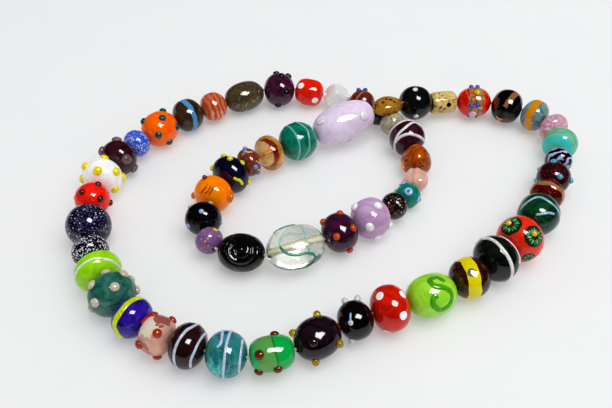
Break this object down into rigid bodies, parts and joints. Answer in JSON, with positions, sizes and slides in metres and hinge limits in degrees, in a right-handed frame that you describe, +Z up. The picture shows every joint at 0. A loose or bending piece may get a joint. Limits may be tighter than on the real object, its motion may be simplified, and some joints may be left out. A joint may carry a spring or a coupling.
{
  "type": "beaded necklace",
  "caption": "Endless glass bead necklace, a strand of mixed lampwork beads laid in a double loop that crosses once, worn round the neck.",
  "frame": {"origin": "under the middle of the box, on the table that the necklace lies on", "axes": "+X along the longer side of the loops, +Y away from the viewer of the picture, +Z up from the table"},
  "size_m": [0.1842, 0.1416, 0.0168],
  "materials": {
    "amber_glass": "amber glass, polished",
    "black_glass": "opaque black glass, polished",
    "brown_glass": "dark brown translucent glass, polished",
    "clear_glass": "clear greyish glass with green trails",
    "coral_glass": "opaque coral red glass, polished",
    "green_glass": "dark translucent green glass, polished",
    "lilac_glass": "opaque pale lilac glass, polished",
    "lime_glass": "opaque lime green glass, polished",
    "maroon_glass": "very dark maroon glass, polished",
    "mauve_glass": "opaque mauve glass, polished",
    "navy_glass": "near black navy glass, polished",
    "orange_glass": "opaque orange glass, polished",
    "plum_glass": "dark plum glass, polished",
    "red_glass": "deep red glass, polished",
    "rose_glass": "pale pink glass striped with cream",
    "smoke_glass": "smoky translucent glass, polished",
    "teal_glass": "translucent teal grey glass over foil",
    "thread": "waxed cream thread",
    "topaz_glass": "clear topaz glass with a red band",
    "turquoise_glass": "layered turquoise glass, polished",
    "violet_glass": "deep blue violet glass, polished",
    "white_glass": "opaque white glass, polished"
  },
  "bodies": {
    "root": {"lilac_oval": "lilac_glass", "black_white_dots": "black_glass", "red_gilded": "red_glass", "black_copper_band": "black_glass", "teal_orange_band": "teal_glass", "turquoise_layers": "turquoise_glass", "maroon_turquoise_dots": "maroon_glass", "bottle_green_trails": "green_glass", "coral_petals": "coral_glass", "black_white_trails": "black_glass", "brown_yellow_band": "brown_glass", "lime_swirl_oval": "lime_glass", "red_white_dots": "red_glass", "black_white_comma": "black_glass", "black_amber_dots": "black_glass", "green_amber_dots": "green_glass", "teal_foil_trails": "teal_glass", "brown_white_trails": "brown_glass", "rose_orange_dots": "rose_glass", "violet_yellow_band": "violet_glass", "sea_green_cream_dots": "green_glass", "lime_white_ring": "lime_glass", "midnight_glitter": "navy_glass", "red_brown_dots": "red_glass", "white_yellow_dots": "white_glass", "plum_mauve_dots": "plum_glass", "orange_teal_dots": "orange_glass", "smoke_oval": "smoke_glass", "purple_black_dots": "plum_glass", "plum_white_trails": "plum_glass", "amber_nugget": "amber_glass", "mauve_white_dots": "mauve_glass", "plum_orange_dots": "plum_glass", "clear_green_trails": "clear_glass", "black_shell": "black_glass", "black_blue_dots": "black_glass", "orange_ridged": "orange_glass", "navy_yellow_dots": "navy_glass", "topaz_red_band": "topaz_glass", "emerald_pale_trails": "green_glass", "string_outer": "thread", "string_inner": "thread"}
  },
  "joints": []
}
